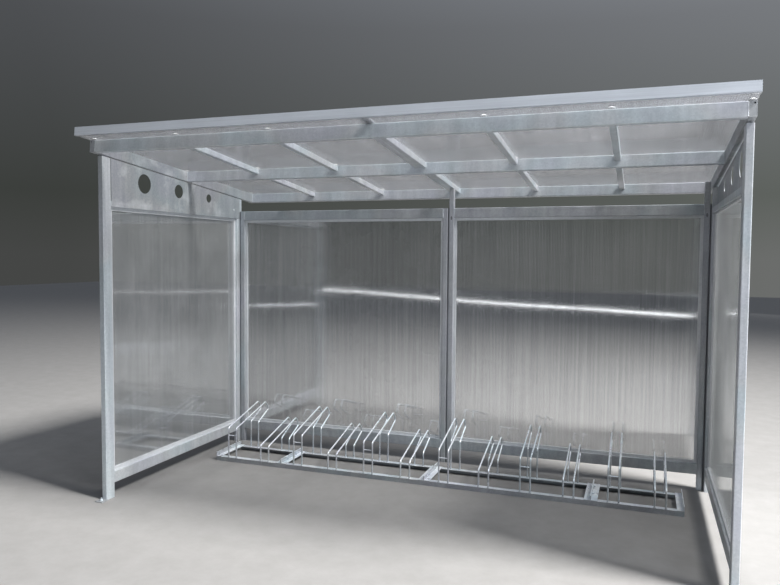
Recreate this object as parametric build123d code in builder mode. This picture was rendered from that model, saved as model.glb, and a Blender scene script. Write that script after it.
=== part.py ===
from build123d import *
import os
from math import cos, radians, sin, tan

# Side frames: the ground is Z 0, the middle of the side frames' depth is Y 0
shelter_width = 4000
side_depth = 1760
post_width = 40
post_depth = 80
tube_wall = 3
inner_corner_radius = 2
side_front_height = 2371
roof_slope = 5.3
side_rail_bottom = 101
rail_height = 80
gable_height = 337
gable_rail_height = 40
gable_thickness = 2.5
vent_front_setback = 426
vent_spacing = 407
vent_diameters = (142, 106, 70)
vent_drops = (109, 91, 76)

# Foot plates with one anchor hole each, before and behind the side frames' posts
foot_plate_thickness = 6
foot_plate_reach = 60
foot_plate_width = 60
anchor_hole_radius = 6

# Back wall: two framed panels, each with its uprights standing on the ground
back_depth = 40
back_upright_width = 40
back_top_drop = 271
back_rail_bottom = 115
side_gap = 10
centre_gap = 12
seal_depth = 18

# Glazing: a sheet flush with the outside of its frame, held by a bead inside
sheet_thickness = 10
left_bead_width = 25
right_bead_width = 8
back_bead_width = 20
bead_depth = 12
bead_wall = 2

# Roof, laid out in its own sloping plane on packers on top of the side frames
packer_height = 8
packer_inset = 8
roof_front_overhang = 72
roof_length = 2060
roof_depth = 80
roof_width = 40
rafter_height = 40
rafter_spacing = 666
purlin_setback = 1020
roof_sheet_front = 140
roof_sheet_rear = 60
roof_sheet_gap = 6
trim_height = 54
trim_lap = 45
trim_lip = 20
trim_wall = 2
joint_width = 60
joint_thickness = 3
cap_hole_radius = 4.5
cap_hole_inset = 11

# Bicycle racks: four units in a row, two short and two long
rack_unit_holders = (2, 4, 4, 2)
holder_spacing = 300
rack_front_setback = 1095
rack_depth = 380
rack_flange = 45
rack_leg = 35
angle_wall = 4
crossbar_hole_radius = 5.5
crossbar_hole_inset = 110

# Wheel holders: pairs of bent rods, high and low by turns
rod_radius = 6
rod_pitch = 72
front_leg_inset = 8
rear_leg_inset = 18
shoulder_height = 279
peak_rise = 132
peak_reach = 107
drop_fall = 70
drop_reach = 163
neck_fall = 85
low_holder_drop = 118
bend_radius = 20
tie_height = 219
tie_radius = 4
tie_clearance = 0.3

# Places that follow from the sizes above
half_width = shelter_width / 2
side_front = -side_depth / 2
side_rear = side_depth / 2
slope = radians(roof_slope)
side_middle_height = side_front_height - tan(slope) * side_depth / 2
post_x = half_width - post_width / 2
inner_x = half_width - post_width
side_rail_start = side_front + post_depth
side_rail_end = side_rear - post_depth
side_rail_top = side_rail_bottom + rail_height
gable_bottom = side_front_height - gable_height
back_y = side_rear - back_depth / 2
back_rail_top = back_rail_bottom + rail_height
back_top = side_front_height - back_top_drop
panel_width = (2 * inner_x - 2 * side_gap - centre_gap) / 2
panel_x = (centre_gap + panel_width) / 2
upright_offset = (panel_width - back_upright_width) / 2
opening_width = panel_width - 2 * back_upright_width
rafter_lift = roof_depth - rafter_height
roof_start = (side_front - roof_front_overhang) / cos(slope)
roof_end = roof_start + roof_length
rack_front = side_front + rack_front_setback
rack_rear = rack_front + rack_depth
rack_start = -sum(rack_unit_holders) * holder_spacing / 2

# Planes that the tubes are drawn on: their coordinates are (Y, Z) across the
# shelter, (X, Y) upward, (-X, Z) backward and (-Y, Z) leftward, and likewise on
# the roof
across = Plane.YZ
upward = Plane.XY
backward = Plane(origin=(0, 0, 0), x_dir=(-1, 0, 0), z_dir=(0, 1, 0))
leftward = Plane(origin=(0, 0, 0), x_dir=(0, -1, 0), z_dir=(-1, 0, 0))
side_top_plane = Plane(
    origin=(0, 0, side_middle_height),
    x_dir=(1, 0, 0),
    z_dir=(0, sin(slope), cos(slope)),
)
roof_plane = side_top_plane.offset(packer_height)
roof_across = Plane(
    origin=roof_plane.origin,
    x_dir=roof_plane.y_dir,
    z_dir=roof_plane.x_dir,
)
roof_backward = Plane(
    origin=roof_plane.origin,
    x_dir=-roof_plane.x_dir,
    z_dir=roof_plane.y_dir,
)

# Sections of the tubes, width by depth
post_size = (post_width, post_depth)
side_rail_size = (post_width, rail_height)
gable_rail_size = (post_width, gable_rail_height)
back_upright_size = (back_upright_width, back_depth)
back_rail_size = (back_depth, rail_height)
beam_size = (roof_width, roof_depth)
rafter_size = (roof_width, rafter_height)


def tube(plane, centre, size, start, end):
    # A rectangular tube with rounded corners, square to the plane and open
    # through, from one distance above the plane to another
    width, depth = size
    with BuildSketch(plane.offset(start)) as section:
        with Locations(centre):
            RectangleRounded(width, depth, inner_corner_radius + tube_wall)
            RectangleRounded(
                width - 2 * tube_wall,
                depth - 2 * tube_wall,
                inner_corner_radius,
                mode=Mode.SUBTRACT,
            )
    extrude(section.sketch, amount=end - start)


def end_cap(plane, centre, size, hole, start):
    # A plate that closes the end of a tube, with a small vent hole
    with BuildSketch(plane.offset(start)) as outline:
        with Locations(centre):
            RectangleRounded(*size, inner_corner_radius + tube_wall)
        with Locations(hole):
            Circle(cap_hole_radius, mode=Mode.SUBTRACT)
    extrude(outline.sketch, amount=tube_wall)


def cut_above(plane):
    # Trims what stands higher than a sloping plane
    with Locations(plane):
        Box(
            2 * shelter_width,
            2 * shelter_width,
            side_front_height,
            align=(Align.CENTER, Align.CENTER, Align.MIN),
            mode=Mode.SUBTRACT,
        )


def bead(plane, centre, opening, bead_width, start):
    # A hollow surround in a frame's opening, open where it presses on the sheet
    width, height = opening
    with BuildSketch(plane.offset(start)) as outline:
        with Locations(centre):
            Rectangle(width, height)
            Rectangle(width - 2 * bead_width, height - 2 * bead_width, mode=Mode.SUBTRACT)
    extrude(outline.sketch, amount=bead_depth)
    inner_width = bead_width - bead_wall
    with BuildSketch(plane.offset(start + bead_wall)) as channel:
        with Locations(centre):
            Rectangle(width - 2 * bead_wall, height - 2 * bead_wall)
            Rectangle(width - 2 * inner_width, height - 2 * inner_width, mode=Mode.SUBTRACT)
    extrude(channel.sketch, amount=bead_depth - bead_wall, mode=Mode.SUBTRACT)


def holder_rod(x, shoulder):
    # One round bar bent up from the front rail, back over the wheel's rim, down
    # and forward again to the rear rail
    front_y = rack_front + front_leg_inset
    rear_y = rack_rear - rear_leg_inset
    peak = shoulder + peak_rise
    drop = peak - drop_fall
    neck = drop - neck_fall
    corners = (
        Vector(x, front_y, rack_leg),
        Vector(x, front_y, shoulder),
        Vector(x, rack_rear + peak_reach, peak),
        Vector(x, rack_rear + drop_reach, drop),
        Vector(x, rear_y, neck),
        Vector(x, rear_y, rack_leg),
    )
    with BuildLine() as path:
        FilletPolyline(*corners, radius=bend_radius)
    with BuildSketch(Plane.XY.offset(rack_leg)) as section:
        with Locations((x, front_y)):
            Circle(rod_radius)
    sweep(section.sketch, path=path.line)


# Front posts of the two side frames
with BuildPart() as front_posts:
    for side in (-1, 1):
        centre = (side * post_x, side_front + post_depth / 2)
        tube(upward, centre, post_size, 0, side_front_height)
    cut_above(side_top_plane)

# Rear posts of the two side frames
with BuildPart() as rear_posts:
    for side in (-1, 1):
        centre = (side * post_x, side_rear - post_depth / 2)
        tube(upward, centre, post_size, 0, side_front_height)
    cut_above(side_top_plane)

# Bottom rails of the side frames, raised off the ground
with BuildPart() as side_bottom_rails:
    for side in (-1, 1):
        centre = (side * post_x, side_rail_bottom + rail_height / 2)
        tube(backward, centre, side_rail_size, side_rail_start, side_rail_end)

# Middle rails of the side frames, between the side sheets and the vent plates
with BuildPart() as side_middle_rails:
    for side in (-1, 1):
        centre = (side * post_x, gable_bottom + gable_rail_height / 2)
        tube(backward, centre, gable_rail_size, side_rail_start, side_rail_end)

# Vent plates, with holes that shrink towards the back: the left one is fixed on
# the inner face of its frame, the right one stands on its frame's middle rail
vent_circles = []
for number, diameter in enumerate(vent_diameters):
    setback = vent_front_setback + number * vent_spacing
    roof_height = side_front_height - tan(slope) * setback
    vent_circles.append((side_front + setback, roof_height - vent_drops[number], diameter / 2))
right_gable_x = half_width - inner_corner_radius - tube_wall - gable_thickness
gable_rail_top = gable_bottom + gable_rail_height
vent_plate_places = (
    (-inner_x, side_rear - back_depth, gable_bottom),
    (right_gable_x, side_rail_end, gable_rail_top),
)
with BuildPart() as vent_plates:
    for plate_x, plate_end, plate_bottom in vent_plate_places:
        with BuildSketch(across.offset(plate_x)) as outline:
            with Locations((side_rail_start, plate_bottom)):
                Rectangle(
                    plate_end - side_rail_start,
                    side_front_height - plate_bottom,
                    align=(Align.MIN, Align.MIN),
                )
            for hole_y, hole_z, radius in vent_circles:
                with Locations((hole_y, hole_z)):
                    Circle(radius, mode=Mode.SUBTRACT)
        extrude(outline.sketch, amount=gable_thickness)
    cut_above(side_top_plane)

# Glazing beads of the side frames, wide on the left and slim on the right
side_opening = (side_rail_end - side_rail_start, gable_bottom - side_rail_top)
side_opening_centre = (0, (gable_bottom + side_rail_top) / 2)
side_sheet_start = half_width - sheet_thickness
side_bead_start = side_sheet_start - bead_depth
with BuildPart() as side_panel_beads:
    bead(leftward, side_opening_centre, side_opening, left_bead_width, side_bead_start)
    bead(across, side_opening_centre, side_opening, right_bead_width, side_bead_start)

# Side sheets
with BuildPart() as side_panels:
    with BuildSketch(across.offset(side_sheet_start)):
        with Locations(side_opening_centre):
            Rectangle(*side_opening)
    extrude(amount=sheet_thickness)
    mirror(about=Plane.YZ)

# Foot plates at the posts of the side frames
with BuildPart() as foot_plates:
    with BuildSketch():
        with GridLocations(2 * post_x, side_depth + foot_plate_reach, 2, 2):
            Rectangle(foot_plate_width, foot_plate_reach)
            Circle(anchor_hole_radius, mode=Mode.SUBTRACT)
    extrude(amount=foot_plate_thickness)

# Uprights of the left back frame, ending with its top rail
with BuildPart() as back_left_uprights:
    for side in (-1, 1):
        centre = (-panel_x + side * upright_offset, back_y)
        tube(upward, centre, back_upright_size, 0, back_top)

# Uprights of the right back frame, running on up to the rafters
with BuildPart() as back_right_uprights:
    for side in (-1, 1):
        centre = (panel_x + side * upright_offset, back_y)
        tube(upward, centre, back_upright_size, 0, side_front_height)
    cut_above(roof_plane.offset(rafter_lift))

# Top and bottom rails of the back frames
back_rail_starts = (-panel_x - opening_width / 2, panel_x - opening_width / 2)
with BuildPart() as back_top_rails:
    for start in back_rail_starts:
        centre = (back_y, back_top - rail_height / 2)
        tube(across, centre, back_rail_size, start, start + opening_width)
with BuildPart() as back_bottom_rails:
    for start in back_rail_starts:
        centre = (back_y, back_rail_bottom + rail_height / 2)
        tube(across, centre, back_rail_size, start, start + opening_width)

# Glazing beads of the back frames
back_opening = (opening_width, back_top - rail_height - back_rail_top)
back_opening_z = back_rail_top + back_opening[1] / 2
back_sheet_start = side_rear - sheet_thickness
back_bead_start = back_sheet_start - bead_depth
with BuildPart() as back_panel_beads:
    for centre_x in (-panel_x, panel_x):
        centre = (centre_x, back_opening_z)
        bead(backward, centre, back_opening, back_bead_width, back_bead_start)

# Back sheets
with BuildPart() as back_panels:
    with BuildSketch(backward.offset(back_sheet_start)):
        with Locations((-panel_x, back_opening_z), (panel_x, back_opening_z)):
            Rectangle(*back_opening)
    extrude(amount=sheet_thickness)

# Seals that fill the gaps beside the back frames and between them
with BuildPart() as frame_seals:
    with BuildSketch():
        with Locations((0, back_y)):
            Rectangle(centre_gap, seal_depth)
        with Locations((side_gap / 2 - inner_x, back_y), (inner_x - side_gap / 2, back_y)):
            Rectangle(side_gap, seal_depth)
    extrude(amount=back_top)

# Packers between the posts of the side frames and the end rafters
with BuildPart() as roof_packers:
    with BuildSketch(side_top_plane):
        with GridLocations(2 * post_x, (side_depth - post_depth) / cos(slope), 2, 2):
            Rectangle(post_width - 2 * packer_inset, post_depth - 2 * packer_inset)
    extrude(amount=packer_height)

# Cross members of each half of the roof: front beam, purlin and rear beam
beam_lines = (
    roof_start + roof_width / 2,
    roof_start + purlin_setback + roof_width / 2,
    roof_end - roof_width / 2,
)
with BuildPart() as roof_left_beams:
    for line in beam_lines:
        tube(roof_across, (line, roof_depth / 2), beam_size, -inner_x, 0)
with BuildPart() as roof_right_beams:
    for line in beam_lines:
        tube(roof_across, (line, roof_depth / 2), beam_size, 0, inner_x)

# End rafters, resting on the packers, with a plate in each end
cap_starts = (roof_start, roof_end - tube_wall)
with BuildPart() as roof_end_rafters:
    for side in (-1, 1):
        centre = (side * post_x, roof_depth / 2)
        cap_hole = (side * (half_width - cap_hole_inset), roof_depth - cap_hole_inset)
        tube(roof_backward, centre, beam_size, roof_start, roof_end)
        for cap_start in cap_starts:
            end_cap(roof_backward, centre, beam_size, cap_hole, cap_start)

# Shallow rafters between the cross members, in two lengths each
rafter_z = roof_depth - rafter_height / 2
rafter_spots = (roof_width / 2, rafter_spacing, 2 * rafter_spacing)
rafter_runs = (
    (roof_start + roof_width, roof_start + purlin_setback),
    (roof_start + purlin_setback + roof_width, roof_end - roof_width),
)
with BuildPart() as roof_left_rafters:
    for start, end in rafter_runs:
        for spot in rafter_spots:
            tube(roof_backward, (spot, rafter_z), rafter_size, start, end)
with BuildPart() as roof_right_rafters:
    for start, end in rafter_runs:
        for spot in rafter_spots:
            tube(roof_backward, (-spot, rafter_z), rafter_size, start, end)

# Roof sheets, one on each half
sheet_start = roof_start - roof_sheet_front
sheet_end = roof_end + roof_sheet_rear
sheet_x = (half_width + roof_sheet_gap / 2) / 2
with BuildPart() as roof_sheets:
    with BuildSketch(roof_plane.offset(roof_depth)):
        with Locations((-sheet_x, sheet_start), (sheet_x, sheet_start)):
            Rectangle(
                half_width - roof_sheet_gap / 2,
                sheet_end - sheet_start,
                align=(Align.CENTER, Align.MIN),
            )
    extrude(amount=sheet_thickness)

# Cover strip over the joint between the roof sheets, behind the front trim
joint_start = sheet_start + trim_lap
with BuildPart() as roof_joint_strip:
    with BuildSketch(roof_plane.offset(roof_depth + sheet_thickness)):
        with Locations((0, joint_start)):
            Rectangle(joint_width, sheet_end - joint_start, align=(Align.CENTER, Align.MIN))
    extrude(amount=joint_thickness)

# Folded trim round the front edge of the roof sheets: a lip below, a tall face
# and a lap on top that turns down onto the sheets
trim_bottom = roof_depth - trim_wall
trim_top = trim_bottom + trim_height
with BuildPart() as roof_front_trim:
    with BuildSketch(roof_across.offset(-half_width)):
        with Locations((sheet_start, trim_bottom)):
            Rectangle(trim_lip, trim_wall, align=(Align.MIN, Align.MIN))
            Rectangle(trim_wall, trim_height, align=(Align.MAX, Align.MIN))
        with Locations((sheet_start, trim_top)):
            Rectangle(trim_lap, trim_wall, align=(Align.MIN, Align.MAX))
        with Locations((sheet_start + trim_lap, trim_top)):
            Rectangle(
                trim_wall,
                trim_top - roof_depth - sheet_thickness,
                align=(Align.MAX, Align.MAX),
            )
    extrude(amount=shelter_width)

# Rack units: each has two rails, a crossbar at either end, and its holders
rack_parts = {}
high_middles = []
holder_count = 0
left_end = rack_start
for unit, holders in enumerate(rack_unit_holders, 1):
    unit_length = holders * holder_spacing
    right_end = left_end + unit_length
    with BuildPart() as rails:
        with BuildSketch(across.offset(left_end)):
            with Locations((rack_front, rack_leg)):
                Rectangle(angle_wall, rack_leg, align=(Align.MIN, Align.MAX))
                Rectangle(rack_flange, angle_wall, align=(Align.MIN, Align.MAX))
            with Locations((rack_rear, rack_leg)):
                Rectangle(angle_wall, rack_leg, align=(Align.MAX, Align.MAX))
                Rectangle(rack_flange, angle_wall, align=(Align.MAX, Align.MAX))
        extrude(amount=unit_length)
    rack_parts[f"rack_{unit}_rails"] = rails

    with BuildPart() as crossbars:
        with BuildSketch(backward.offset(rack_front)):
            with Locations((-left_end, rack_leg)):
                Rectangle(angle_wall, rack_leg, align=(Align.MAX, Align.MIN))
                Rectangle(rack_flange, angle_wall, align=(Align.MAX, Align.MIN))
            with Locations((-right_end, rack_leg)):
                Rectangle(angle_wall, rack_leg, align=(Align.MIN, Align.MIN))
                Rectangle(rack_flange, angle_wall, align=(Align.MIN, Align.MIN))
        extrude(amount=rack_depth)
        hole_z = rack_leg + (rack_leg + angle_wall) / 2
        with BuildSketch(across.offset(left_end)):
            with Locations(
                (rack_front + crossbar_hole_inset, hole_z),
                (rack_rear - crossbar_hole_inset, hole_z),
            ):
                Circle(crossbar_hole_radius)
        extrude(amount=unit_length, mode=Mode.SUBTRACT)
    rack_parts[f"rack_{unit}_crossbars"] = crossbars

    # A holder is a pair of rods: the unit's first one is high, the next low, and so on
    for number in range(holders):
        middle = left_end + (number + 0.5) * holder_spacing
        shoulder = shoulder_height
        if number % 2:
            shoulder -= low_holder_drop
        else:
            high_middles.append(middle)
        with BuildPart() as rods:
            for side in (-1, 1):
                holder_rod(middle + side * rod_pitch / 2, shoulder)
        holder_count += 1
        rack_parts[f"wheel_holder_{holder_count}"] = rods
    left_end = right_end

# Short ties between the front legs of the high holders, for the wheel to rest on
tie_length = rod_pitch - 2 * (rod_radius + tie_clearance)
with BuildPart() as holder_ties:
    for middle in high_middles:
        with BuildSketch(across.offset(middle - tie_length / 2)) as tie_section:
            with Locations((rack_front + front_leg_inset, tie_height)):
                Circle(tie_radius)
        extrude(tie_section.sketch, amount=tie_length)

parts = {
    "front_posts": front_posts,
    "rear_posts": rear_posts,
    "side_bottom_rails": side_bottom_rails,
    "side_middle_rails": side_middle_rails,
    "vent_plates": vent_plates,
    "side_panel_beads": side_panel_beads,
    "side_panels": side_panels,
    "foot_plates": foot_plates,
    "back_left_uprights": back_left_uprights,
    "back_right_uprights": back_right_uprights,
    "back_top_rails": back_top_rails,
    "back_bottom_rails": back_bottom_rails,
    "back_panel_beads": back_panel_beads,
    "back_panels": back_panels,
    "frame_seals": frame_seals,
    "roof_packers": roof_packers,
    "roof_left_beams": roof_left_beams,
    "roof_right_beams": roof_right_beams,
    "roof_end_rafters": roof_end_rafters,
    "roof_left_rafters": roof_left_rafters,
    "roof_right_rafters": roof_right_rafters,
    "roof_sheets": roof_sheets,
    "roof_joint_strip": roof_joint_strip,
    "roof_front_trim": roof_front_trim,
    "holder_ties": holder_ties,
}
parts.update(rack_parts)

os.makedirs("parts", exist_ok=True)
for name, piece in parts.items():
    piece.part.label = name
    export_step(piece.part, f"parts/{name}.step")
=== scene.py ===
# %% [markdown]
# # A bicycle shelter of galvanised tube and clear twin-wall sheet
#
# The real shelter is a steel frame, dipped in zinc, with hollow plastic sheets in
# its sides, back and roof and a low rack of bent rods on the ground. The frame's
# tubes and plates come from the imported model. This script adds what makes them
# look real: the zinc's crystals and streaks, the flutes inside the sheets, welds,
# screws and bolts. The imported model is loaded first, because every other piece
# takes its place from it.

# %% Load the frame
import math

import bmesh
import bpy
from mathutils import Matrix, Vector


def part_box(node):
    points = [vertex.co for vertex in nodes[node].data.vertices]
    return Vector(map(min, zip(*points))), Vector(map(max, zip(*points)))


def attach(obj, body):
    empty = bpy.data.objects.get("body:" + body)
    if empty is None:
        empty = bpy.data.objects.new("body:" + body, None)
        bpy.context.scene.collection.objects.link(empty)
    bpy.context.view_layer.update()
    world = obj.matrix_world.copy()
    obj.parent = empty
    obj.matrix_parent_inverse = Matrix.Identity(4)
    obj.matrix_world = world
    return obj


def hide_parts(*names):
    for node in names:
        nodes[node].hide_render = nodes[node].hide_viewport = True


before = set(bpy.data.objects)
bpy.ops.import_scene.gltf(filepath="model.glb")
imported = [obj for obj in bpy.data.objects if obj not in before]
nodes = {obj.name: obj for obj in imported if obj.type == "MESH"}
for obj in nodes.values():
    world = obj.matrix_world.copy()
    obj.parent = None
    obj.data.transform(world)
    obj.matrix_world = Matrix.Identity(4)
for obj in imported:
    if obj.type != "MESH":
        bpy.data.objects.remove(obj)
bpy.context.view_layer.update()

# %% [markdown]
# ## The camera
#
# The photograph was taken standing, a little to the right of the middle, looking
# slightly down and to the left. Its place and lens were worked out from the tubes'
# edges, which are straight lines of known length. A camera can be aimed with a
# constraint or with angles. Here its three axes are written out, because a small
# roll of the hand-held picture is then simply a turn of two of them.

# %% Place the camera
PHOTO_WIDTH = 780
FOCAL_PIXELS = 704.8
SENSOR_WIDTH = 36.0
EYE = Vector((1.503, -4.748, 1.709))
TURN_LEFT = 0.3443
TILT_DOWN = 0.052
ROLL = 0.0074

forward = Vector((
    -math.sin(TURN_LEFT) * math.cos(TILT_DOWN),
    math.cos(TURN_LEFT) * math.cos(TILT_DOWN),
    -math.sin(TILT_DOWN),
))
level_right = Vector((math.cos(TURN_LEFT), math.sin(TURN_LEFT), 0))
level_up = level_right.cross(forward)
right = level_right * math.cos(ROLL) + level_up * math.sin(ROLL)
up = level_up * math.cos(ROLL) - level_right * math.sin(ROLL)

camera_data = bpy.data.cameras.new("camera")
camera_data.sensor_width = SENSOR_WIDTH
camera_data.lens = FOCAL_PIXELS / PHOTO_WIDTH * SENSOR_WIDTH
camera = bpy.data.objects.new("camera", camera_data)
bpy.context.scene.collection.objects.link(camera)
camera.matrix_world = Matrix.Translation(EYE) @ Matrix((right, up, -forward)).transposed().to_4x4()
bpy.context.scene.camera = camera
print("lens", round(camera_data.lens, 2), "mm")

# %% [markdown]
# ## Measures of the shelter
#
# Added pieces sit on tubes and plates, so their places are read from the frame's
# boxes instead of being typed in. The roof slopes, and a box shows no slope, so its
# plane is found from the upper front edge of its sheets and the angle. Pieces on the
# roof are laid out flat in that plane, which is far simpler than sloping each one.

# %% Read the places from the frame
side_low, side_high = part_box("side_panels")
back_low, back_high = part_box("back_panels")
roof_low, roof_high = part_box("roof_sheets")
post_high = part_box("front_posts")[1]
rear_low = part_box("rear_posts")[0]

SHEET_THICKNESS = 0.010
ROOF_SLOPE = math.radians(5.3)
ROOF_LENGTH = (roof_high.y - roof_low.y - SHEET_THICKNESS * math.sin(ROOF_SLOPE)) / math.cos(ROOF_SLOPE)
HALF_WIDTH = post_high.x
POST_WIDTH = 0.040

# The roof's own axes: across, down the slope, and square to the sheet
roof_axes = Matrix.Rotation(-ROOF_SLOPE, 4, "X")
roof_corner = Vector((0, roof_low.y, roof_high.z - SHEET_THICKNESS * math.cos(ROOF_SLOPE)))
roof_place = Matrix.Translation(roof_corner) @ roof_axes
print("roof", round(ROOF_LENGTH, 3), "m long, posts up to", round(post_high.z, 3), "m")

# %% [markdown]
# ## Making a piece
#
# Every added piece is a mesh made with bmesh. One small function turns a finished
# bmesh into an object at the origin, gives it a material and lets it ride on the
# shelter's one body, so that no step is forgotten. Two more add the forms that most
# pieces are made from: a box between two corners, and a round stub.


def finish_piece(name, mesh_in_work, materials, replaced=(), smooth=False):
    """Turns a bmesh into a piece of the shelter."""
    mesh = bpy.data.meshes.new(name)
    for face in mesh_in_work.faces:
        face.smooth = smooth
    bmesh.ops.recalc_face_normals(mesh_in_work, faces=mesh_in_work.faces)
    mesh_in_work.to_mesh(mesh)
    mesh_in_work.free()
    for material in materials:
        mesh.materials.append(material)
    piece = bpy.data.objects.new(name, mesh)
    bpy.context.scene.collection.objects.link(piece)
    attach(piece, "root")
    if replaced:
        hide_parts(*replaced)
    print(name, len(mesh.polygons), "faces")


def add_box(mesh_in_work, low, high, place=Matrix.Identity(4), material=0):
    """Adds a box between two corners, then puts it in place."""
    middle = (Vector(low) + Vector(high)) / 2
    size = Vector(high) - Vector(low)
    matrix = place @ Matrix.Translation(middle) @ Matrix.Diagonal((*size, 1))
    made = bmesh.ops.create_cube(mesh_in_work, size=1, matrix=matrix)
    for face in {face for vert in made["verts"] for face in vert.link_faces}:
        face.material_index = material


def add_round(mesh_in_work, place, radius, height, sides=24, top_radius=None):
    """Adds a round or many-sided stub that stands on the place's own z."""
    bmesh.ops.create_cone(
        mesh_in_work, cap_ends=True, segments=sides, radius1=radius,
        radius2=radius if top_radius is None else top_radius, depth=height,
        matrix=place @ Matrix.Translation((0, 0, height / 2)),
    )


print("helpers for pieces ready")

# %% [markdown]
# ## A material from nodes
#
# A material could be built by hand in the node editor. In code one recipe serves
# many finishes, each with its own numbers. Short helpers keep it readable: they add
# a node with its inputs filled in by name, start a material with its shader and the
# object's own coordinates, which stay put however it is viewed, and make the two
# nodes that nearly every finish has, the mapping and the colour ramp.

# %% Helpers for materials
def add_node(tree, kind, **inputs):
    """Adds a node and sets its inputs by name; a socket as value is linked."""
    node = tree.nodes.new("ShaderNode" + kind)
    for name, value in inputs.items():
        socket = node.inputs[name.replace("_", " ")]
        if isinstance(value, bpy.types.NodeSocket):
            tree.links.new(value, socket)
        else:
            socket.default_value = value
    return node


def start_material(name):
    """A new material: its node tree, its shader and its object coordinates."""
    material = bpy.data.materials.new(name)
    material.use_nodes = True
    tree = material.node_tree
    shader = tree.nodes["Principled BSDF"]
    coordinates = tree.nodes.new("ShaderNodeTexCoord").outputs["Object"]
    return material, tree, shader, coordinates


def mapped(tree, coordinates, scale, shift=(0, 0, 0)):
    """Coordinates stretched by a scale along each axis, and shifted."""
    mapping = add_node(tree, "Mapping", Vector=coordinates, Scale=scale, Location=shift)
    return mapping.outputs["Vector"]


def ramp(tree, factor, stops):
    """A colour ramp through the given stops of position and colour."""
    node = add_node(tree, "ValToRGB", Fac=factor)
    elements = node.color_ramp.elements
    while len(elements) < len(stops):
        elements.new(0.5)
    for element, (position, colour) in zip(elements, stops):
        element.position = position
        element.color = (*colour, 1)
    return node.outputs["Color"]


print("helpers for nodes ready")

# %% [markdown]
# The other helpers do what the finishes below need: soft noise, a number that
# follows the noise, two colours or two values put together, and fine relief.
# The relief is a bump, which only bends the light, so it is kept for marks that are
# too shallow to see from the side.

# %% Helpers that mix and mark
def noise(tree, coordinates, scale, detail, roughness=0.5):
    """Soft noise: its scale, how fine it gets and how strong the fine part is."""
    node = add_node(tree, "TexNoise", Vector=coordinates, Scale=scale, Detail=detail, Roughness=roughness)
    return node.outputs["Fac"]


def number_range(tree, value, low, high, from_low=0.3, from_high=0.7):
    """A value spread between two numbers."""
    node = add_node(tree, "MapRange", Value=value, To_Min=low, To_Max=high)
    node.inputs["From Min"].default_value = from_low
    node.inputs["From Max"].default_value = from_high
    return node.outputs["Result"]


def blend(tree, kind, factor, first, second):
    """Two colours mixed in the given way."""
    node = tree.nodes.new("ShaderNodeMix")
    node.data_type = "RGBA"
    node.blend_type = kind
    # Of its many sockets, a colour mix uses these: the factor, then the two colours
    for number, value in zip((0, 6, 7), (factor, first, second)):
        socket = node.inputs[number]
        if isinstance(value, bpy.types.NodeSocket):
            tree.links.new(value, socket)
        else:
            socket.default_value = value
    return node.outputs[2]


def combine(tree, operation, first, second):
    """Two values put together, by a sum or a product."""
    node = tree.nodes.new("ShaderNodeMath")
    node.operation = operation
    tree.links.new(first, node.inputs[0])
    tree.links.new(second, node.inputs[1])
    return node.outputs["Value"]


def add_relief(tree, shader, height, strength, distance):
    """Lets the light see small heights and hollows."""
    bump = add_node(tree, "Bump", Height=height, Strength=strength, Distance=distance)
    tree.links.new(bump.outputs["Normal"], shader.inputs["Normal"])


def give_finish(material, names):
    """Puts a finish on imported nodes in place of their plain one."""
    for name in names:
        nodes[name].data.materials.clear()
        nodes[name].data.materials.append(material)


print("helpers for marks ready")

# %% [markdown]
# ## Galvanised steel
#
# The frame was dipped whole in molten zinc. That leaves a blue-grey skin with pale
# crystals about a centimetre across, long soft streaks where the zinc ran off, and
# cloudy patches of white bloom. A picture wrapped on the tubes would repeat, so the
# marks are made from noise at their own sizes. The streaks follow the tube, so each
# direction of tube has a finish of its own.

# %% The zinc finish
ZINC_DARK = (0.45, 0.47, 0.50)
ZINC_MIDDLE = (0.53, 0.55, 0.58)
ZINC_LIGHT = (0.63, 0.65, 0.68)
ZINC_BLOOM = (0.76, 0.78, 0.80, 1)
CRYSTAL_SCALE = 110


def zinc_crystals(tree, coordinates):
    """The pale crystals in the zinc, each with a grey of its own."""
    crystals = add_node(tree, "TexVoronoi", Vector=coordinates, Scale=CRYSTAL_SCALE)
    grey = add_node(tree, "SeparateXYZ", Vector=crystals.outputs["Color"]).outputs["X"]
    return ramp(tree, grey, [(0.0, (0.86, 0.87, 0.88)), (1.0, (1.0, 1.0, 1.0))])


def zinc_tints(tree, coordinates):
    """Slow changes between a bluish, a greenish and a lilac grey."""
    return ramp(tree, noise(tree, coordinates, 1.6, 2.0), [
        (0.34, (0.95, 0.97, 1.0)), (0.44, (0.94, 1.0, 1.0)),
        (0.52, (1.0, 1.0, 0.98)), (0.64, (0.98, 0.97, 1.0)),
    ])


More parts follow.
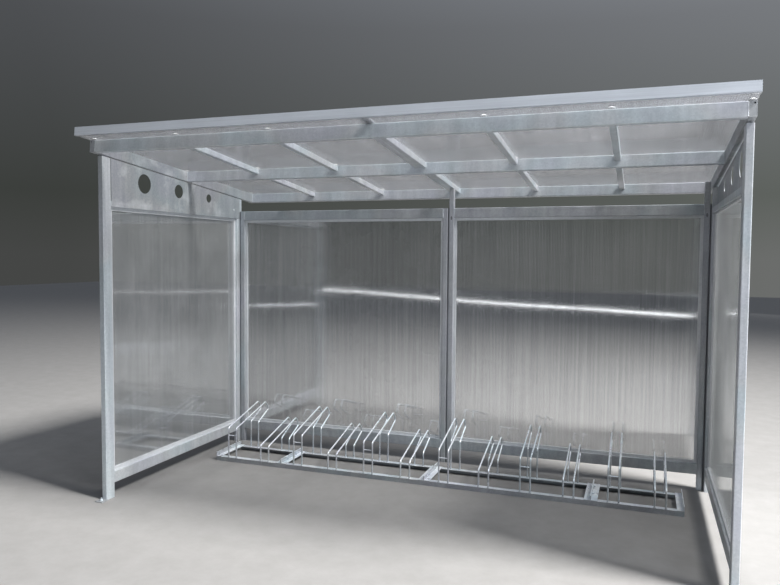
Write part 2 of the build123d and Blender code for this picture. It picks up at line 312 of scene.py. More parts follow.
def galvanised(name, streak_scale, shift, bloom=0.2, tone_and_painted_light=1.0, roughness=(0.34, 0.52), painted_top_light=None):
    """Zinc with streaks. One scale makes it paler or darker, in places as painted light and shade;
    another pair paints a highlight on faces that look up and shade on the sides.
    """
    material, tree, shader, coordinates = start_material(name)
    here = mapped(tree, coordinates, (1, 1, 1), shift)
    streaks = noise(tree, mapped(tree, coordinates, streak_scale, shift), 1.0, 5.0, 0.6)
    greys = zip((0.25, 0.5, 0.75), (ZINC_DARK, ZINC_MIDDLE, ZINC_LIGHT))
    base = ramp(tree, streaks, [(place, tuple(part * tone_and_painted_light for part in grey)) for place, grey in greys])
    base = blend(tree, "MULTIPLY", 1.0, base, zinc_crystals(tree, here))
    base = blend(tree, "MULTIPLY", 1.0, base, zinc_tints(tree, here))
    clouds = noise(tree, here, 6.0, 6.0, 0.65)
    patches = ramp(tree, clouds, [(0.52, (0, 0, 0)), (0.78, (bloom, bloom, bloom))])
    base = blend(tree, "MIX", patches, base, ZINC_BLOOM)
    # Painted light: faces that look up are made paler as a painted highlight, and the sides darker as
    # painted shade.
    if painted_top_light:
        height = add_node(tree, "SeparateXYZ", Vector=coordinates.node.outputs["Normal"]).outputs["Z"]
        base = blend(tree, "MULTIPLY", 1.0, base, number_range(tree, height, *painted_top_light, 0.0, 0.9))
    tree.links.new(base, shader.inputs["Base Color"])
    tree.links.new(number_range(tree, clouds, *roughness), shader.inputs["Roughness"])
    shader.inputs["Metallic"].default_value = 0.50
    add_relief(tree, shader, noise(tree, here, 45.0, 3.0), strength=0.08, distance=0.002)
    return material


print("zinc has crystals", round(1000 / CRYSTAL_SCALE), "mm across")

# %% [markdown]
# No two dips give the same zinc, and here some tones also paint light and shade. The
# back frames' uprights and top rails are darker than the posts, as painted shade, and
# their bottom rails are darker too, with more bloom. The plates have more bloom and are
# darker, which on the end rafters is painted shade. The rods are paler and the rails
# darker, and both get a painted highlight on their upper faces and painted shade on
# their sides. One recipe makes all of these. The first three numbers of each stretch
# the streaks, and the next three shift the noise, so that no two finishes look alike.

# %% Zinc on the tubes, plates and rods
zinc_upright = galvanised("zinc_upright", (22, 22, 1.3), (0.3, 0.1, 0.7))
# Painted shade: the back frames' uprights are darker than the posts.
zinc_back_painted_shade = galvanised("zinc_back_painted_shade", (22, 22, 1.3), (1.3, 0.6, 0.2), tone_and_painted_light=0.72)
# Painted shade: the back top rails are darker still.
zinc_top_painted_shade = galvanised("zinc_top_painted_shade", (15, 2.0, 2.0), (0.8, 1.4, 0.6), tone_and_painted_light=0.66)
zinc_low = galvanised("zinc_low", (15, 2.0, 2.0), (0.4, 2.4, 0.6), bloom=0.3, tone_and_painted_light=0.70)
zinc_across = galvanised("zinc_across", (15, 2.0, 2.0), (1.7, 0.4, 0.2))
zinc_backward = galvanised("zinc_backward", (2.0, 15, 2.0), (0.9, 2.1, 0.5))
# Plates with more bloom, made darker; on the end rafters this darkness is painted shade.
zinc_plate_and_painted_shade = galvanised("zinc_plate_and_painted_shade", (2.0, 17, 1.2), (3.1, 0.6, 1.4), bloom=0.50, tone_and_painted_light=0.62)
# Rods: paler, with a painted highlight on their upper faces and painted shade on their sides.
zinc_rod_painted_light = galvanised(
    "zinc_rod_painted_light", (14, 14, 14), (0.2, 0.8, 2.3),
    bloom=0.5, tone_and_painted_light=1.5, roughness=(0.24, 0.36), painted_top_light=(0.58, 1.2),
)
# Rails: darker sides as painted shade, and upper faces made pale as a painted highlight.
zinc_rail_painted_light = galvanised(
    "zinc_rail_painted_light", (3, 14, 14), (0.6, 1.8, 0.3),
    bloom=0.35, tone_and_painted_light=0.62, roughness=(0.28, 0.42), painted_top_light=(0.85, 2.4),
)

rail_names = [name for name in nodes if name.startswith("rack_") and name.endswith("_rails")]
rod_names = [name for name in nodes if name.startswith(("wheel_holder_", "holder_"))]
rod_names += [name for name in nodes if name.endswith("_crossbars")]
finishes = {
    zinc_upright: ["front_posts", "rear_posts"],
    zinc_back_painted_shade: ["back_left_uprights", "back_right_uprights"],
    zinc_top_painted_shade: ["back_top_rails"],
    zinc_low: ["back_bottom_rails"],
    zinc_across: ["roof_left_beams", "roof_right_beams"],
    zinc_backward: ["side_bottom_rails", "side_middle_rails", "roof_left_rafters", "roof_right_rafters"],
    # The end rafters take the plates' darker finish, as painted shade.
    zinc_plate_and_painted_shade: ["vent_plates", "foot_plates", "roof_packers", "roof_end_rafters"],
    zinc_rail_painted_light: rail_names,
    zinc_rod_painted_light: rod_names,
}
for material, names in finishes.items():
    give_finish(material, names)
print("zinc on", sum(len(names) for names in finishes.values()), "nodes")

# %% [markdown]
# ## Mill aluminium
#
# The glazing beads and the folded trim along the roof's front edge are bare
# aluminium. It is smoother and paler than zinc, with fine lines along the way it
# was drawn. A photographed texture would have to be turned for each bead, so the
# lines are noise that is stretched along the piece, in the colour, the gloss and a
# very shallow relief.

# %% The aluminium finish
def drawn_aluminium(name, line_scale, colour, metallic=0.50):
    """Aluminium with fine drawing lines along the axis with the small scale."""
    material, tree, shader, coordinates = start_material(name)
    lines = noise(tree, mapped(tree, coordinates, line_scale), 1.0, 4.0, 0.7)
    clouds = noise(tree, coordinates, 3.0, 5.0)
    dark = tuple(part * 0.82 for part in colour)
    base = ramp(tree, lines, [(0.3, dark), (0.7, colour)])
    stain = ramp(tree, clouds, [(0.35, (0.80, 0.80, 0.80)), (0.7, (1, 1, 1))])
    tree.links.new(blend(tree, "MULTIPLY", 0.6, base, stain), shader.inputs["Base Color"])
    tree.links.new(number_range(tree, lines, 0.28, 0.46), shader.inputs["Roughness"])
    shader.inputs["Metallic"].default_value = metallic
    add_relief(tree, shader, lines, strength=0.05, distance=0.001)
    return material


bead_finish = drawn_aluminium("bead_finish", (60, 60, 60), (0.68, 0.70, 0.73), 0.35)
trim_finish = drawn_aluminium("trim_finish", (1.5, 220, 220), (0.62, 0.66, 0.72))
give_finish(bead_finish, ["side_panel_beads", "back_panel_beads"])
give_finish(trim_finish, ["roof_front_trim", "roof_joint_strip"])
print("aluminium on the beads, trim and joint strip")

# %% [markdown]
# ## Rubber seals
#
# Rubber strips close the gaps beside and between the back frames. New rubber is
# black, but outdoors it greys where dust settles and the sun bleaches it. Plain
# black would look like a hole in the picture, so a soft noise mixes two greys and
# changes the gloss with them.

# %% The rubber finish
rubber, tree, shader, coordinates = start_material("seal_rubber_finish")
dust = noise(tree, mapped(tree, coordinates, (30, 30, 4)), 1.0, 5.0)
rubber_greys = ramp(tree, dust, [(0.35, (0.09, 0.094, 0.10)), (0.7, (0.20, 0.205, 0.215))])
tree.links.new(rubber_greys, shader.inputs["Base Color"])
tree.links.new(number_range(tree, dust, 0.55, 0.80), shader.inputs["Roughness"])
give_finish(rubber, ["frame_seals"])
print("rubber on the seals")

# %% [markdown]
# ## Twin-wall sheet
#
# The glazing is two thin skins of clear plastic with ribs between them, about a
# centimetre apart. A plain slab with stripes painted on it would look flat from the
# side, so the skins and every rib are real boxes. First come the skin's colour and
# how much it hides. It hides more at a slant, as glass does, and more where rain has
# left smears or something has scuffed it. The colour and the smears follow the same
# noise, because dirt changes the two together.

# %% The colour and the opacity of a skin
FLUTE_LINES = 85
ALONG_LINES = 0.8


def tint_with_painted_flute_lines(tree, coordinates, smears, across_flutes, tint):
    """The sheet's tint, with a faint darker line along each flute, painted in place of the reflection
    that breaks at each rib.
    """
    pale = tuple(min(1.0, part * 1.08) for part in tint)
    tinted = ramp(tree, smears, [(0.35, tint), (0.7, pale)])
    stretch = [FLUTE_LINES if part else ALONG_LINES for part in across_flutes]
    # Painted reflection: faint lines along the flutes, where a real sheet's reflection breaks at each
    # rib.
    lines = noise(tree, mapped(tree, coordinates, stretch), 1.0, 2.0)
    painted_flute_lines = ramp(tree, lines, [(0.32, (0.78, 0.79, 0.80)), (0.68, (1, 1, 1))])
    return blend(tree, "MULTIPLY", 1.0, tinted, painted_flute_lines)


def sheet_opacity(tree, coordinates, smears, opacity, slant, scuffs):
    """How much the skin hides: more at a slant, and more where it is smeared or scuffed."""
    facing_ratio = add_node(tree, "LayerWeight", Blend=0.35).outputs["Facing"]
    clear = number_range(tree, facing_ratio, opacity, opacity * slant, 0.0, 1.0)
    dirt = number_range(tree, smears, 0.75, 1.25, 0.0, 1.0)
    marks = noise(tree, mapped(tree, coordinates, (7, 7, 7)), 1.0, 10.0, 0.8)
    hidden = combine(tree, "MULTIPLY", clear, dirt)
    return combine(tree, "ADD", hidden, number_range(tree, marks, 0.0, scuffs, 0.58, 0.70))


print("colour and opacity ready")

# %% [markdown]
# The skins are slightly hollow between the ribs. That draws every reflection out
# across the flutes and keeps it sharp along them, which is how twin-wall sheet is
# recognised. Thousands of small hollows would be slow to render, so the shader's
# anisotropy does the same, with its tangent set across the flutes. A slow ripple in
# the relief bends the reflections a little, as no sheet is quite flat.

# %% The finish of a skin
def sheet_skin(name, across_flutes, tint, opacity, shine, waviness, scuffs, slant):
    """A clear skin that draws its reflections out across the flutes."""
    material, tree, shader, coordinates = start_material(name)
    smears = noise(tree, mapped(tree, coordinates, (1.2, 1.2, 1.2)), 1.5, 6.0, 0.6)
    colour = tint_with_painted_flute_lines(tree, coordinates, smears, across_flutes, tint)
    tree.links.new(colour, shader.inputs["Base Color"])
    hides = sheet_opacity(tree, coordinates, smears, opacity, slant, scuffs)
    tree.links.new(hides, shader.inputs["Alpha"])
    tree.links.new(number_range(tree, smears, 0.065, 0.080), shader.inputs["Roughness"])
    shader.inputs["Metallic"].default_value = shine
    shader.inputs["Anisotropic"].default_value = 1.0
    tangent = add_node(tree, "CombineXYZ", X=across_flutes[0], Y=across_flutes[1], Z=across_flutes[2])
    tree.links.new(tangent.outputs["Vector"], shader.inputs["Tangent"])
    ripple = noise(tree, mapped(tree, coordinates, (0.7, 0.7, 1.2)), 1.0, 0.0)
    add_relief(tree, shader, ripple, strength=waviness, distance=0.012)
    return material


WALL_LOOK = dict(tint=(0.80, 0.81, 0.82), opacity=0.29, shine=0.90, waviness=0.18, scuffs=0.06)
ROOF_LOOK = dict(tint=(0.80, 0.80, 0.83), opacity=0.165, shine=0.30, waviness=0.4, scuffs=0.36)
wall_skin = sheet_skin("wall_skin", (1, 0, 0), slant=2.6, **WALL_LOOK)
side_skin = sheet_skin("side_skin", (0, 1, 0), slant=1.9, **WALL_LOOK)
roof_skin = sheet_skin("roof_skin", (1, 0, 0), slant=1.1, **ROOF_LOOK)
print("skins for the walls, the sides and the roof")

# %% [markdown]
# The ribs of the walls are pale and milky, which paints in the light that scatters
# along a rib. Those of the roof are dark. They could share the skins' finish, but a
# plain hazy plastic is faster and looks the same at this size.

# %% The finish of the ribs
def sheet_rib(name, colour, opacity):
    """The plastic of the ribs between the skins."""
    material, tree, shader, coordinates = start_material(name)
    dark = tuple(part * 0.75 for part in colour)
    haze = ramp(tree, noise(tree, coordinates, 4.0, 3.0), [(0.3, dark), (0.7, colour)])
    tree.links.new(haze, shader.inputs["Base Color"])
    shader.inputs["Roughness"].default_value = 0.35
    shader.inputs["Alpha"].default_value = opacity
    return material


wall_rib = sheet_rib("wall_rib", (0.66, 0.66, 0.66), 0.34)
# The side ribs are paler still, as painted light on the side sheets.
side_rib = sheet_rib("side_rib", (0.88, 0.89, 0.88), 0.52)
roof_rib = sheet_rib("roof_rib", (0.10, 0.105, 0.11), 0.15)
print("ribs for the walls, the sides and the roof")

# %% [markdown]
# Each sheet is built flat: x runs across the flutes, y along them and z through the
# sheet. A row of boxes is enough for the ribs. The cells at the two side edges close
# on a rib, as on a sheet that was cut along one, so the pitch gives way a little.

# %% One flat sheet
FLUTE_PITCH = 0.0122
SKIN = 0.0008
RIB = 0.0007


def twin_wall(mesh_in_work, place, width, length):
    """Adds one sheet: two skins and the ribs between them, before it is placed."""
    add_box(mesh_in_work, (0, 0, 0), (width, length, SKIN), place)
    add_box(mesh_in_work, (0, 0, SHEET_THICKNESS - SKIN), (width, length, SHEET_THICKNESS), place)
    cells = round(width / FLUTE_PITCH)
    for number in range(cells + 1):
        x = (width - RIB) * number / cells
        add_box(mesh_in_work, (x, 0, SKIN), (x + RIB, length, SHEET_THICKNESS - SKIN), place, material=1)


print("flutes", round(FLUTE_PITCH * 1000, 1), "mm apart")

# %% [markdown]
# A matrix stands the flat sheet up in its frame. Its three columns say where the
# sheet's own axes go, which is easier to follow than three turns one after another.
# Building the sheets in place would need another version of the loop for each wall.
# In the sides and the back the flutes run upwards, so that water drains out of them.

# %% Sheets in the sides and the back
def facing_frame(origin, across, along, through):
    """The matrix that takes a flat sheet's axes to these directions."""
    return Matrix.Translation(origin) @ Matrix((across, along, through)).transposed().to_4x4()


X_AXIS, Y_AXIS, Z_AXIS = Vector((1, 0, 0)), Vector((0, 1, 0)), Vector((0, 0, 1))

sheets = bmesh.new()
for inner_x in (side_low.x, side_high.x - SHEET_THICKNESS):
    corner = Vector((inner_x, side_low.y, side_low.z))
    place = facing_frame(corner, Y_AXIS, Z_AXIS, X_AXIS)
    twin_wall(sheets, place, side_high.y - side_low.y, side_high.z - side_low.z)
finish_piece("side_sheets", sheets, [side_skin, side_rib], replaced=["side_panels"])

# One box spans both back panels, so their inner edges come from the gap and the uprights
CENTRE_GAP = 0.012
BACK_UPRIGHT = 0.040
back_width = back_high.x - CENTRE_GAP / 2 - BACK_UPRIGHT
sheets = bmesh.new()
for left in (back_low.x, CENTRE_GAP / 2 + BACK_UPRIGHT):
    corner = Vector((left, back_high.y, back_low.z))
    place = facing_frame(corner, X_AXIS, Z_AXIS, -Y_AXIS)
    twin_wall(sheets, place, back_width, back_high.z - back_low.z)
finish_piece("back_sheets", sheets, [wall_skin, wall_rib], replaced=["back_panels"])

# %% [markdown]
# The roof's two sheets lie in the roof's own plane, with their flutes down the slope.
# They leave a small gap under the joint strip, because plastic grows in the sun, and
# they stop just short of the tape that closes their rear ends.

# %% Sheets on the roof
ROOF_GAP = 0.006
TAPE = 0.0006
sheets = bmesh.new()
for left in (-HALF_WIDTH, ROOF_GAP / 2):
    place = roof_place @ Matrix.Translation((left, 0, 0))
    twin_wall(sheets, place, HALF_WIDTH - ROOF_GAP / 2, ROOF_LENGTH - TAPE)
finish_piece("roof_covering", sheets, [roof_skin, roof_rib], replaced=["roof_sheets"])

# %% [markdown]
# ## Weld seams
#
# The tubes are welded where they meet, and the zinc covers the welds. A weld is a row
# of small overlapping pools of metal. So each seam here is a chain of small balls that
# lie half inside the tubes. A bump on the tubes could not do this, because the seam
# stands in the corner between two of them. A bent tube would be too smooth.

# %% The welds of the side and back frames
WELD_RADIUS = 0.0035
WELD_STEP = 0.0035
zinc_weld = galvanised(
    "zinc_weld", (60, 60, 60), (1.2, 0.3, 1.1), bloom=0.3, tone_and_painted_light=0.95, roughness=(0.40, 0.55),
)


def weld(mesh_in_work, start, end, place=Matrix.Identity(4)):
    """Adds a chain of small pools of metal between two points."""
    start, end = place @ Vector(start), place @ Vector(end)
    count = max(2, round((end - start).length / WELD_STEP))
    for number in range(count + 1):
        spot = Matrix.Translation(start.lerp(end, number / count))
        bmesh.ops.create_icosphere(mesh_in_work, subdivisions=1, radius=WELD_RADIUS, matrix=spot)


CORNER = 0.006
SUNK = 0.0018
bottom_low, bottom_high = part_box("side_bottom_rails")
middle_low, middle_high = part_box("side_middle_rails")
seams = bmesh.new()
for side in (-1, 1):
    for face_x in (side * (HALF_WIDTH - POST_WIDTH + SUNK), side * (HALF_WIDTH - SUNK)):
        for y in (bottom_low.y, bottom_high.y):
            for low, high in ((bottom_low.z, bottom_high.z), (middle_low.z, middle_high.z)):
                weld(seams, (face_x, y, low + CORNER), (face_x, y, high - CORNER))
finish_piece("side_frame_welds", seams, [zinc_weld], smooth=True)

top_rail_low, top_rail_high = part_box("back_top_rails")
low_rail_low, low_rail_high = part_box("back_bottom_rails")
inner_edges = [back_low.x, back_low.x + back_width, CENTRE_GAP / 2 + BACK_UPRIGHT, back_high.x]
seams = bmesh.new()
for face_y in (top_rail_low.y + SUNK, top_rail_high.y - SUNK):
    for x in inner_edges:
        weld(seams, (x, face_y, low_rail_low.z + CORNER), (x, face_y, low_rail_high.z - CORNER))
        weld(seams, (x, face_y, top_rail_low.z + CORNER), (x, face_y, top_rail_high.z - CORNER))
finish_piece("back_frame_welds", seams, [zinc_weld], smooth=True)

# %% [markdown]
# The roof's tubes meet in its own sloping plane. Its welds are therefore laid out
# flat, down the slope and across it, and one matrix carries them up. Each rafter has
# a seam below and one at each side. The end rafters are welded to the beams' ends.

# %% The welds of the roof
# How far the sheets reach past the frame in front, then the frame's own sizes
SHEET_FRONT = 0.140
BEAM_WIDTH = 0.040
ROOF_DEPTH = 0.080
PURLIN_SETBACK = 1.020
FRAME_LENGTH = 2.060
RAFTER_HALF = 0.020
SEAM_HALF = 0.014
SIDE_GAP = 0.004
RAFTER_LINES = (0.666, 1.332)
rafter_spots = [side * spot for spot in (RAFTER_HALF, *RAFTER_LINES) for side in (-1, 1)]
beam_starts = (SHEET_FRONT, SHEET_FRONT + PURLIN_SETBACK, SHEET_FRONT + FRAME_LENGTH - BEAM_WIDTH)


def weld_rafter(mesh_in_work, x, y):
    """Welds the lower face and both sides of one rafter to a cross tube."""
    low = -ROOF_DEPTH / 2 + SUNK
    weld(mesh_in_work, (x - SEAM_HALF, y, low), (x + SEAM_HALF, y, low), roof_place)
    for edge in (SUNK - RAFTER_HALF, RAFTER_HALF - SUNK):
        weld(mesh_in_work, (x + edge, y, low + SIDE_GAP), (x + edge, y, -CORNER), roof_place)


seams = bmesh.new()
for start in beam_starts:
    # The first cross tube has rafters behind it, the last before it, the middle one both
    welded_faces = []
    if start < beam_starts[-1]:
        welded_faces.append(start + BEAM_WIDTH)
    if start > beam_starts[0]:
        welded_faces.append(start)
    for y in welded_faces:
        for x in rafter_spots:
            weld_rafter(seams, x, y)
    for x in (POST_WIDTH - HALF_WIDTH, HALF_WIDTH - POST_WIDTH):
        for y in (start + SUNK, start + BEAM_WIDTH - SUNK):
            weld(seams, (x, y, -ROOF_DEPTH + CORNER), (x, y, -CORNER), roof_place)
finish_piece("roof_welds", seams, [zinc_weld], smooth=True)

# %% [markdown]
# ## Feet of the wheel holders
#
# Each rod stands on a rail and is welded round its foot, which leaves a small collar
# of zinc-coated metal. A ring of weld pools, as above, would be too fine to see here,
# so each collar is a short cone that narrows upwards. The boxes of the holders' nodes
# say where the rods stand along the rack.

# %% The collars at the rods
RAIL_TOP = 0.035
ROD_RADIUS = 0.006
FOOT_LINES = (0.223, 0.577)
COLLAR = 0.0045
COLLAR_LIP = 0.0003
collars = bmesh.new()
for number in range(1, 13):
    holder_low, holder_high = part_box(f"wheel_holder_{number}")
    for x in (holder_low.x + ROD_RADIUS, holder_high.x - ROD_RADIUS):
        for y in FOOT_LINES:
            foot = Matrix.Translation((x, y, RAIL_TOP))
            add_round(
                collars, foot, ROD_RADIUS + COLLAR, COLLAR, sides=16,
                top_radius=ROD_RADIUS + COLLAR_LIP,
            )
finish_piece("holder_collars", collars, [zinc_weld], smooth=True)

# %% [markdown]
# ## Bolts and washers
#
# A bolt is a washer, a six-sided head or nut, and a stub of thread. One function
# stacks these three rounds on a given place, so the same bolt serves the ground
# plates, the rack, the left gable and the roof's joint strip. A cone with six sides
# is a nut, which is simpler than cutting one from a block.

# %% A helper for bolts
zinc_bolt = galvanised("zinc_bolt", (120, 120, 120), (2.2, 0.4, 0.9), tone_and_painted_light=1.15, roughness=(0.25, 0.40))
WASHER_THICKNESS = 0.002
NUT_TAPER = 0.97


def facing(origin, direction):
    """A place whose z points along a direction."""
    return Matrix.Translation(origin) @ Vector(direction).to_track_quat("Z", "Y").to_matrix().to_4x4()


def add_bolt(mesh_in_work, place, washer, nut, nut_height, stub=0.0, stub_radius=0.005):
    """Adds a washer, a nut and the end of the thread that stands out of it."""
    on_washer = place @ Matrix.Translation((0, 0, WASHER_THICKNESS))
    add_round(mesh_in_work, place, washer, WASHER_THICKNESS, sides=28)
    add_round(mesh_in_work, on_washer, nut, nut_height, sides=6, top_radius=nut * NUT_TAPER)
    if stub:
        on_nut = on_washer @ Matrix.Translation((0, 0, nut_height))
        add_round(mesh_in_work, on_nut, stub_radius, stub, sides=16)


print("bolts have washers", WASHER_THICKNESS * 1000, "mm thick")

# %% [markdown]
# One anchor near the outer edges of each foot plate holds the shelter down. The
# rack's four units are bolted to each other through their crossbars, with a head on
# one side and a nut with its thread on the other. All of these go into one piece,
# because they are of one metal and never move.

# %% Anchors and rack bolts
plate_low, plate_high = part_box("foot_plates")
ANCHOR_INSET = 0.030
bolts = bmesh.new()
for x in (plate_low.x + ANCHOR_INSET, plate_high.x - ANCHOR_INSET):
    for y in (plate_low.y + ANCHOR_INSET, plate_high.y - ANCHOR_INSET):
        on_plate = Matrix.Translation((x, y, plate_high.z))
        add_bolt(bolts, on_plate, washer=0.0105, nut=0.0098, nut_height=0.008, stub=0.009)
print("four anchors,", round(plate_high.y - plate_low.y - 2 * ANCHOR_INSET, 2), "m from front to back")

UNIT_JOINTS = (-1.2, 0.0, 1.2)
BOLT_LINES = (0.325, 0.485)
BOLT_HEIGHT = 0.0545
JOINT_HALF = 0.004
for x in UNIT_JOINTS:
    for y in BOLT_LINES:
        head = facing((x - JOINT_HALF, y, BOLT_HEIGHT), -X_AXIS)
        add_bolt(bolts, head, washer=0.0095, nut=0.0090, nut_height=0.0062)
        nut_side = facing((x + JOINT_HALF, y, BOLT_HEIGHT), X_AXIS)
        add_bolt(bolts, nut_side, washer=0.0095, nut=0.0090, nut_height=0.0080, stub=0.006)
print("rack bolts at", UNIT_JOINTS)

# %% [markdown]
# One bolt holds the left gable's plate near its rear corner, and two rivets sit in
# the right rear post. A rivet's head is a low cone, wide at its foot.

# %% The gable's bolt and the rivets
vent_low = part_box("vent_plates")[0]
VENT_PLATE = 0.0025
GABLE_BOLT = (vent_low.x + VENT_PLATE, 0.743, 2.108)
RIVET_X = 1.975
RIVET_HEIGHTS = (0.93, 0.56)
add_bolt(bolts, facing(GABLE_BOLT, X_AXIS), washer=0.0095, nut=0.0075, nut_height=0.005)
for z in RIVET_HEIGHTS:
    rivet = facing((RIVET_X, rear_low.y, z), -Y_AXIS)
    add_round(bolts, rivet, radius=0.0060, height=0.0022, sides=20, top_radius=0.0035)
finish_piece("bolts_and_rivets", bolts, [zinc_bolt])

# %% [markdown]
# ## Fixings of the roof sheets
#
# Pale plastic buttons hold the sheets on the three cross tubes: a wide dished disc
# that spreads the load, with a cap over its screw. From inside they show as pale
# smudges above the tubes. A plain washer would be too small and too dark. On the
# joint strip, where the sheets are already held down, a screw and washer are enough.

# %% The button's plastic
button_plastic, tree, shader, coordinates = start_material("button_plastic")
grime = noise(tree, coordinates, 60.0, 5.0)
button_colour = ramp(tree, grime, [(0.3, (0.66, 0.67, 0.66)), (0.7, (0.86, 0.87, 0.87))])
tree.links.new(button_colour, shader.inputs["Base Color"])
tree.links.new(number_range(tree, grime, 0.25, 0.45), shader.inputs["Roughness"])
print("plastic for the buttons")

# %% [markdown]
# Buttons stand over the outer rafters and over both ends of each cross tube. Two
# screws hold the joint strip where it crosses a tube. All are placed in the roof's
# own plane, so one loop over the three tubes is enough.

# %% The roof fixings
DISC, DISC_TOP, DISC_HEIGHT = 0.020, 0.016, 0.004
CAP, CAP_TOP, CAP_HEIGHT = 0.010, 0.008, 0.004
END_SPOT = 0.020
STRIP_HEIGHT = 0.003
STRIP_SCREWS = (-0.018, 0.018)
button_spots = [side * spot for spot in (*RAFTER_LINES, HALF_WIDTH - END_SPOT) for side in (-1, 1)]
buttons, screws = bmesh.new(), bmesh.new()
for start in beam_starts:
    line = roof_place @ Matrix.Translation((0, start + BEAM_WIDTH / 2, SHEET_THICKNESS))
    for x in button_spots:
        spot = line @ Matrix.Translation((x, 0, 0))
        on_disc = spot @ Matrix.Translation((0, 0, DISC_HEIGHT))
        add_round(buttons, spot, DISC, DISC_HEIGHT, sides=32, top_radius=DISC_TOP)
        add_round(buttons, on_disc, CAP, CAP_HEIGHT, sides=24, top_radius=CAP_TOP)
    for x in STRIP_SCREWS:
        on_strip = line @ Matrix.Translation((x, 0, STRIP_HEIGHT))
        add_bolt(screws, on_strip, washer=0.009, nut=0.0048, nut_height=0.0042)
finish_piece("roof_buttons", buttons, [button_plastic])
finish_piece("joint_strip_screws", screws, [zinc_bolt])

# %% [markdown]
# ## Plugs and tape
#
# Two long holes at the top of the right back frame are filled with dark plugs, which
# paint the shade inside the holes. Tape closes the open flutes along the roof sheets'
# rear edge, as rain and insects would get in. Both are thin. A plug is a low cone
# stretched to twice its width, and the tape is a long flat box.

# %% The plugs and the tape
PLUG_HALF_WIDTH = 0.0075
PLUG_HEIGHT = 0.0012
PLUG_BEVEL = 0.0010
hole_shade_plugs = bmesh.new()
for x in (CENTRE_GAP / 2 + BACK_UPRIGHT / 2, back_high.x + BACK_UPRIGHT / 2):
    stretched = facing((x, top_rail_low.y, top_rail_low.z), -Y_AXIS) @ Matrix.Diagonal((1, 2, 1, 1))
    add_round(
        hole_shade_plugs, stretched, PLUG_HALF_WIDTH, PLUG_HEIGHT, sides=28,
        top_radius=PLUG_HALF_WIDTH - PLUG_BEVEL,
    )
# Dark plugs in the two holes: painted shade.
finish_piece("back_frame_plugs_painted_shade", hole_shade_plugs, [rubber])

tapes = bmesh.new()
for left in (-HALF_WIDTH, ROOF_GAP / 2):
    right_edge = left + HALF_WIDTH - ROOF_GAP / 2
    low = (left, ROOF_LENGTH - TAPE, 0)
    add_box(tapes, low, (right_edge, ROOF_LENGTH, SHEET_THICKNESS), roof_place)
finish_piece("roof_end_tape", tapes, [bead_finish])

# %% [markdown]
# ## The floor
#
# The shelter stands on a plain grey floor. A box would add nothing that shows, so it
# is one large face, whose far edge meets the backdrop at eye level. It is slightly
# speckled, so that its shadows and the light that it throws up look natural.

# %% The floor
FLOOR_SIZE = 60
floor_mesh = bmesh.new()
bmesh.ops.create_grid(floor_mesh, x_segments=1, y_segments=1, size=FLOOR_SIZE / 2)
floor_data = bpy.data.meshes.new("floor")
floor_mesh.to_mesh(floor_data)
floor_mesh.free()
floor = bpy.data.objects.new("floor", floor_data)
bpy.context.scene.collection.objects.link(floor)

floor_paint, tree, shader, coordinates = start_material("floor_paint")
speckle = noise(tree, coordinates, 6.0, 8.0, 0.7)
floor_greys = ramp(tree, speckle, [(0.3, (0.160, 0.157, 0.153)), (0.7, (0.188, 0.185, 0.182))])
tree.links.new(floor_greys, shader.inputs["Base Color"])
shader.inputs["Roughness"].default_value = 0.8
floor_data.materials.append(floor_paint)
print("floor", FLOOR_SIZE, "m wide")

# %% [markdown]
# ## The backdrop
#
# Shiny sheets show whatever surrounds them, so the backdrop matters as much as the
# lamps. A picture of a sky would show in them, so this one is a plain ramp of colours
# by height. Overhead it is a soft blue-grey. Near eye level it is dark, which lets the
# back sheets look deep. It is brighter towards the sun's side.

# %% The backdrop
world = bpy.data.worlds.new("studio")
world.use_nodes = True
bpy.context.scene.world = world
sky_tree = world.node_tree
sky_direction = sky_tree.nodes.new("ShaderNodeTexCoord").outputs["Generated"]
direction = add_node(sky_tree, "SeparateXYZ", Vector=sky_direction)
sky = ramp(sky_tree, direction.outputs["Z"], [
    (0.0, (0.15, 0.155, 0.15)),
    (0.08, (0.115, 0.125, 0.115)),
    (0.30, (0.19, 0.20, 0.215)),
    (0.6, (0.42, 0.46, 0.53)),
])
background = sky_tree.nodes["Background"]
sky_tree.links.new(sky, background.inputs["Color"])
sun_side = number_range(sky_tree, direction.outputs["X"], 0.40, 1.35, -0.7, 0.7)
sky_tree.links.new(sun_side, background.inputs["Strength"])
print("backdrop ready")

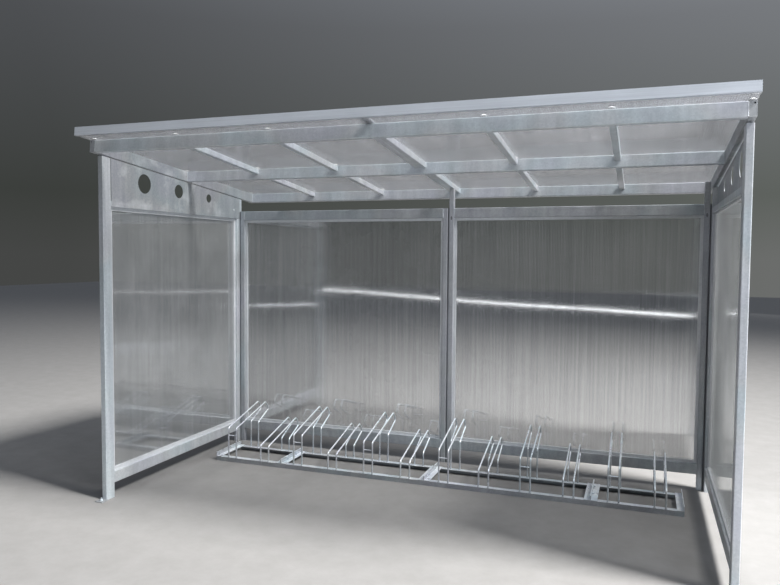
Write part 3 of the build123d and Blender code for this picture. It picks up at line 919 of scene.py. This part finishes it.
# %% [markdown]
# ## The lamps
#
# A sun lamp would give hard shadows. A large lamp far up on the right gives softer
# ones, with its beam narrowed so that little light is lost. A broad lamp overhead and
# a weak one at the front soften the dark sides. The front one is kept out of
# reflections, as the sheets would show it as a bright window. Two long, thin lamps
# lie low and far away. They are there for the sheets, which draw them out into a
# bright streak near eye level. The one behind the camera is turned, so that its
# streak falls towards the right.

# %% The lamps
def area_lamp(name, place, target, size, power, colour=(1, 1, 1), height=None):
    """A soft lamp that shines from one point towards another."""
    lamp = bpy.data.lights.new(name, "AREA")
    lamp.shape = "RECTANGLE"
    lamp.size = size
    lamp.size_y = size if height is None else height
    lamp.energy = power
    lamp.color = colour
    holder = bpy.data.objects.new(name, lamp)
    holder.location = place
    holder.rotation_euler = (Vector(target) - Vector(place)).to_track_quat("-Z", "Y").to_euler()
    holder.visible_camera = False
    bpy.context.scene.collection.objects.link(holder)
    return holder


sun = area_lamp("sun", (14, -2.2, 19), (0.2, 1.0, 0.5), size=5.0, power=2600, colour=(1.0, 0.985, 0.96))
sun.data.spread = math.radians(60)
area_lamp("sky_above", (2, -1, 8.5), (0.5, 0, 0), size=5.0, power=180, colour=(0.93, 0.96, 1.0))
front_lamp = area_lamp(
    "front_right", (4.2, -4.6, 0.9), (1.3, -0.9, 2.5), size=1.6, power=170, colour=(0.86, 0.92, 1.0),
)
front_lamp.visible_glossy = False

LEVEL = 0.4
THIN = 0.035
area_lamp("strip_behind", (-6.2, -15.4, LEVEL), (-16.4, 2.3, LEVEL), size=24.0, power=17, height=THIN)
area_lamp("strip_right", (10, 16, LEVEL), (-2, 0, LEVEL), size=22.0, power=18, height=THIN)

print("five lamps ready")

# %% [markdown]
# ## Settings of the picture
#
# The Standard view shows colours as they come from the lamps and finishes, with no
# film-like curve. A look through the roof, a wall and their ribs crosses many
# see-through faces. Past a limit the renderer shows black there, so it is raised.

# %% Set the view and the limit
SEE_THROUGH_FACES = 40
scene = bpy.context.scene
scene.view_settings.view_transform = "Standard"
scene.cycles.transparent_max_bounces = SEE_THROUGH_FACES
print("up to", SEE_THROUGH_FACES, "see-through faces in a row")
